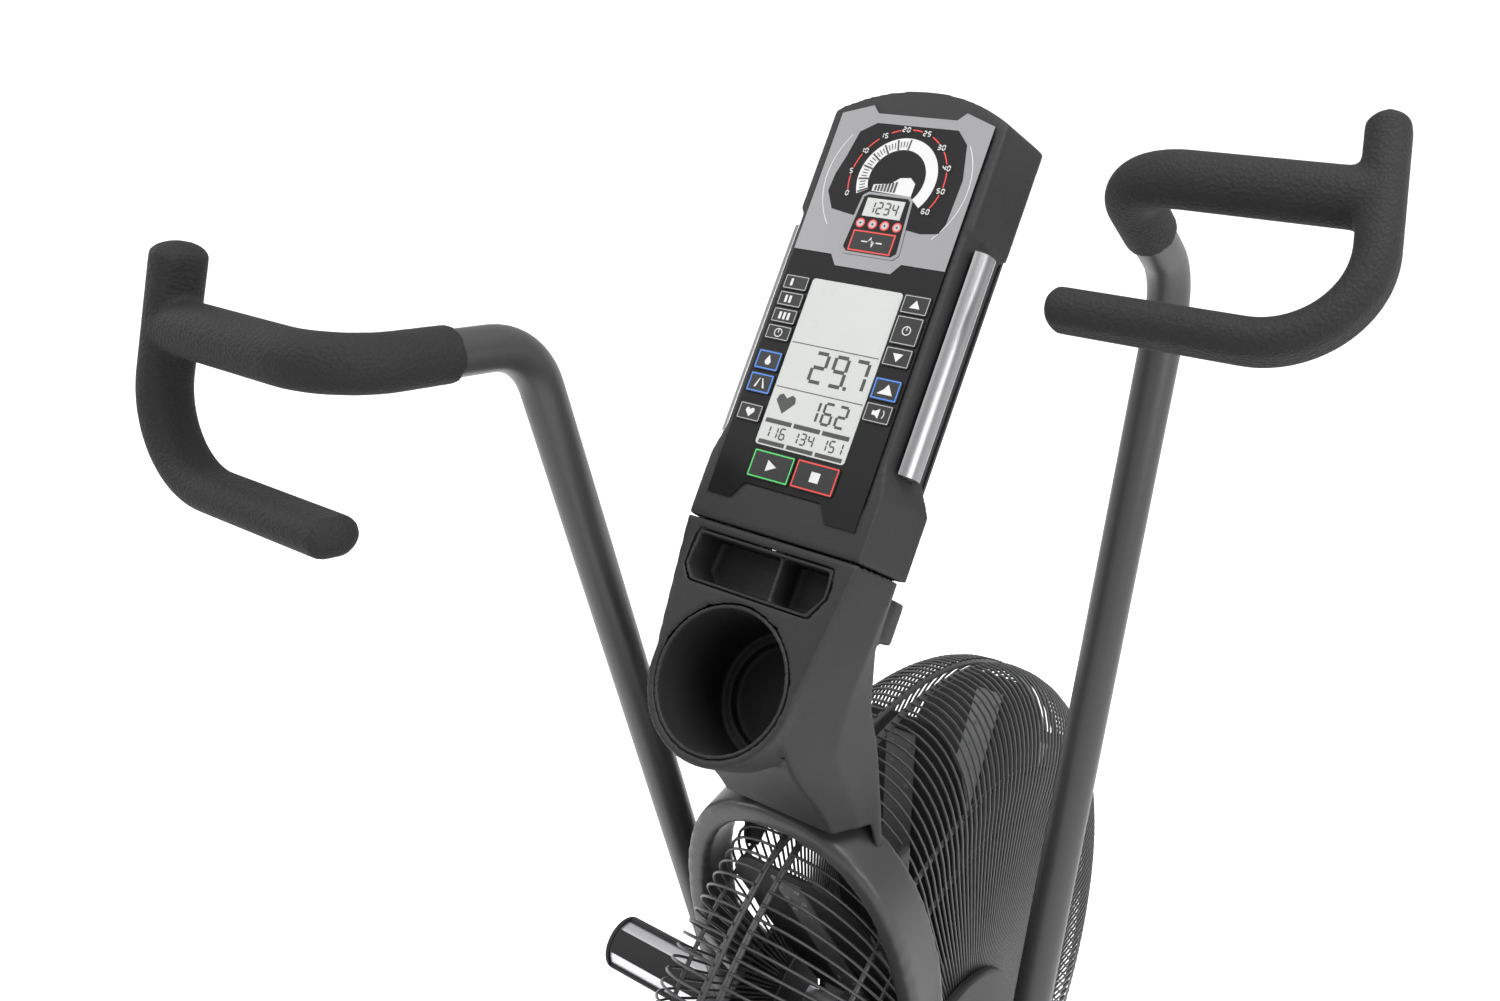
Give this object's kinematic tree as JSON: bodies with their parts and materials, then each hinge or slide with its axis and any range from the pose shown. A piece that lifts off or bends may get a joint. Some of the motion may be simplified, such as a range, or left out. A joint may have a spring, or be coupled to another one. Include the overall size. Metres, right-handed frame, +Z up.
{
  "type": "air bike",
  "caption": "Upright exercise bike with a caged fan wheel, swinging arm handles, foot pegs, raked console with cup and tray, and an adjustable saddle.",
  "frame": {"origin": "on the floor, under the middle of the bike's length and width", "axes": "+Z up, +Y ahead of the rider towards the fan, +X to the rider's right"},
  "size_m": [0.6764, 1.3064, 1.3505],
  "materials": {
    "frame_paint": "satin dark grey powder coat",
    "arm_paint": "satin dark grey paint on round tube",
    "wire_paint": "satin dark grey coated wire",
    "moulding": "fine textured dark grey moulding",
    "foam": "black pebbled foam grip",
    "panel_black": "glossy printed overlay",
    "silver_plate": "brushed silver plate",
    "trim": "satin silver half-round trim",
    "display": "pale liquid crystal display under clear lens",
    "key_plastic": "dark key cap with a printed outline",
    "blade": "dark sheet metal paddle",
    "steel": "machined steel",
    "bracket_steel": "zinc plated bracket",
    "peg_metal": "satin aluminium",
    "black_rubber": "moulded rubber",
    "pulley_plastic": "glass filled nylon",
    "belt_rubber": "ribbed belt",
    "saddle_cover": "black embossed vinyl",
    "tyre": "hard rubber wheel"
  },
  "bodies": {
    "frame": {"main_beam": "frame_paint", "side_rails": "frame_paint", "stabilisers": "frame_paint", "fork_legs": "frame_paint", "foot_caps": "black_rubber", "foot_pegs": "peg_metal", "peg_rubbers": "black_rubber", "yoke": "frame_paint", "seat_tube": "frame_paint", "fan_cage_right": "wire_paint", "fan_cage_left": "wire_paint", "belt_guard": "moulding", "hub_cover": "moulding", "fan_axle": "steel", "bearings": "steel", "drive_belt": "belt_rubber", "console_housing": "moulding", "console_back": "moulding", "console_trims": "trim", "face_panel": "panel_black", "gauge_plate": "silver_plate", "display_module": "display", "shroud": "moulding", "cup_and_tray": "moulding"},
    "fan": {"fan_hub": "pulley_plastic", "fan_blades": "blade", "blade_brackets": "bracket_steel"},
    "crank": {"crank_spindle": "steel", "crank_arms": "frame_paint", "drive_pulley": "pulley_plastic"},
    "pedal_right": {"pedal_right": "moulding"},
    "pedal_left": {"pedal_left": "moulding"},
    "right_arm": {"arm_right": "arm_paint", "grip_right": "foam"},
    "left_arm": {"arm_left": "arm_paint", "grip_left": "foam"},
    "right_rod": {"rod_right": "frame_paint"},
    "left_rod": {"rod_left": "frame_paint"},
    "seat_post": {"seat_post": "frame_paint"},
    "seat_pin": {"seat_pin": "key_plastic"},
    "saddle": {"seat_carriage": "steel", "saddle_cushion": "saddle_cover"},
    "seat_knob": {"seat_knob": "key_plastic"},
    "wheel_right": {"wheel_right": "tyre"},
    "wheel_left": {"wheel_left": "tyre"},
    "key_interval_1": {"key_interval_1": "key_plastic"},
    "key_interval_2": {"key_interval_2": "key_plastic"},
    "key_interval_3": {"key_interval_3": "key_plastic"},
    "key_time": {"key_time": "key_plastic"},
    "key_energy": {"key_energy": "key_plastic"},
    "key_distance": {"key_distance": "key_plastic"},
    "key_heart": {"key_heart": "key_plastic"},
    "key_up": {"key_up": "key_plastic"},
    "key_enter": {"key_enter": "key_plastic"},
    "key_down": {"key_down": "key_plastic"},
    "key_work": {"key_work": "key_plastic"},
    "key_sound": {"key_sound": "key_plastic"},
    "key_start": {"key_start": "key_plastic"},
    "key_stop": {"key_stop": "key_plastic"},
    "key_rate": {"key_rate": "key_plastic"}
  },
  "joints": [
    {"name": "fan_spin", "type": "hinge", "parent": "frame", "child": "fan", "pos_m": [0, 0.2645, 0.44], "axis": [1, 0, 0], "continuous": true},
    {"name": "crank_spin", "type": "hinge", "parent": "frame", "child": "crank", "pos_m": [0, -0.1655, 0.285], "axis": [1, 0, 0], "continuous": true},
    {"name": "pedal_right_spin", "type": "hinge", "parent": "crank", "child": "pedal_right", "pos_m": [0.19, -0.32525, 0.34314], "axis": [1, 0, 0], "continuous": true},
    {"name": "pedal_left_spin", "type": "hinge", "parent": "crank", "child": "pedal_left", "pos_m": [-0.19, -0.00575, 0.22686], "axis": [1, 0, 0], "continuous": true},
    {"name": "right_arm_swing", "type": "hinge", "parent": "frame", "child": "right_arm", "pos_m": [0.145, 0.2155, 0.435], "axis": [1, 0, 0], "range_deg": [0, 27.7]},
    {"name": "left_arm_swing", "type": "hinge", "parent": "frame", "child": "left_arm", "pos_m": [-0.145, 0.2155, 0.435], "axis": [1, 0, 0], "range_deg": [-27.7, 0]},
    {"name": "right_rod_pivot", "type": "hinge", "parent": "right_arm", "child": "right_rod", "pos_m": [0.12, 0.1535, 0.18353], "axis": [1, 0, 0], "range_deg": [-27.7, 0]},
    {"name": "left_rod_pivot", "type": "hinge", "parent": "left_arm", "child": "left_rod", "pos_m": [-0.12, 0.2775, 0.18353], "axis": [1, 0, 0], "range_deg": [0, 27.7]},
    {"name": "seat_height", "type": "slide", "parent": "frame", "child": "seat_post", "axis": [0, -0.2419, 0.9703], "range_m": [-0.1, 0.1]},
    {"name": "seat_pin_pull", "type": "slide", "parent": "frame", "child": "seat_pin", "axis": [0, -0.9703, -0.2419], "range_m": [0, 0.01], "stiffness_N_per_m": 900},
    {"name": "saddle_slide", "type": "slide", "parent": "seat_post", "child": "saddle", "axis": [0, 1, 0], "range_m": [-0.035, 0.035]},
    {"name": "seat_knob_turn", "type": "hinge", "parent": "seat_post", "child": "seat_knob", "pos_m": [0.042, -0.51685, 0.80421], "axis": [1, 0, 0], "range_deg": [0, 350]},
    {"name": "wheel_right_spin", "type": "hinge", "parent": "frame", "child": "wheel_right", "pos_m": [0.15, 0.6215, 0.041], "axis": [1, 0, 0], "continuous": true},
    {"name": "wheel_left_spin", "type": "hinge", "parent": "frame", "child": "wheel_left", "pos_m": [-0.15, 0.6215, 0.041], "axis": [1, 0, 0], "continuous": true},
    {"name": "key_interval_1_press", "type": "slide", "parent": "frame", "child": "key_interval_1", "axis": [0, 0.8239, -0.5667], "range_m": [0, 0.0008], "stiffness_N_per_m": 700},
    {"name": "key_interval_2_press", "type": "slide", "parent": "frame", "child": "key_interval_2", "axis": [0, 0.8239, -0.5667], "range_m": [0, 0.0008], "stiffness_N_per_m": 700},
    {"name": "key_interval_3_press", "type": "slide", "parent": "frame", "child": "key_interval_3", "axis": [0, 0.8239, -0.5667], "range_m": [0, 0.0008], "stiffness_N_per_m": 700},
    {"name": "key_time_press", "type": "slide", "parent": "frame", "child": "key_time", "axis": [0, 0.8239, -0.5667], "range_m": [0, 0.0008], "stiffness_N_per_m": 700},
    {"name": "key_energy_press", "type": "slide", "parent": "frame", "child": "key_energy", "axis": [0, 0.8239, -0.5667], "range_m": [0, 0.0008], "stiffness_N_per_m": 700},
    {"name": "key_distance_press", "type": "slide", "parent": "frame", "child": "key_distance", "axis": [0, 0.8239, -0.5667], "range_m": [0, 0.0008], "stiffness_N_per_m": 700},
    {"name": "key_heart_press", "type": "slide", "parent": "frame", "child": "key_heart", "axis": [0, 0.8239, -0.5667], "range_m": [0, 0.0008], "stiffness_N_per_m": 700},
    {"name": "key_up_press", "type": "slide", "parent": "frame", "child": "key_up", "axis": [0, 0.8239, -0.5667], "range_m": [0, 0.0008], "stiffness_N_per_m": 700},
    {"name": "key_enter_press", "type": "slide", "parent": "frame", "child": "key_enter", "axis": [0, 0.8239, -0.5667], "range_m": [0, 0.0008], "stiffness_N_per_m": 700},
    {"name": "key_down_press", "type": "slide", "parent": "frame", "child": "key_down", "axis": [0, 0.8239, -0.5667], "range_m": [0, 0.0008], "stiffness_N_per_m": 700},
    {"name": "key_work_press", "type": "slide", "parent": "frame", "child": "key_work", "axis": [0, 0.8239, -0.5667], "range_m": [0, 0.0008], "stiffness_N_per_m": 700},
    {"name": "key_sound_press", "type": "slide", "parent": "frame", "child": "key_sound", "axis": [0, 0.8239, -0.5667], "range_m": [0, 0.0008], "stiffness_N_per_m": 700},
    {"name": "key_start_press", "type": "slide", "parent": "frame", "child": "key_start", "axis": [0, 0.8239, -0.5667], "range_m": [0, 0.0008], "stiffness_N_per_m": 700},
    {"name": "key_stop_press", "type": "slide", "parent": "frame", "child": "key_stop", "axis": [0, 0.8239, -0.5667], "range_m": [0, 0.0008], "stiffness_N_per_m": 700},
    {"name": "key_rate_press", "type": "slide", "parent": "frame", "child": "key_rate", "axis": [0, 0.8239, -0.5667], "range_m": [0, 0.0008], "stiffness_N_per_m": 700}
  ],
  "couplings": [
    {"joint": "crank_spin", "follows": "fan_spin", "ratio": 0.28571},
    {"joint": "left_arm_swing", "follows": "right_arm_swing", "ratio": -1},
    {"joint": "right_rod_pivot", "follows": "right_arm_swing", "ratio": -1},
    {"joint": "left_rod_pivot", "follows": "right_arm_swing", "ratio": 1}
  ]
}
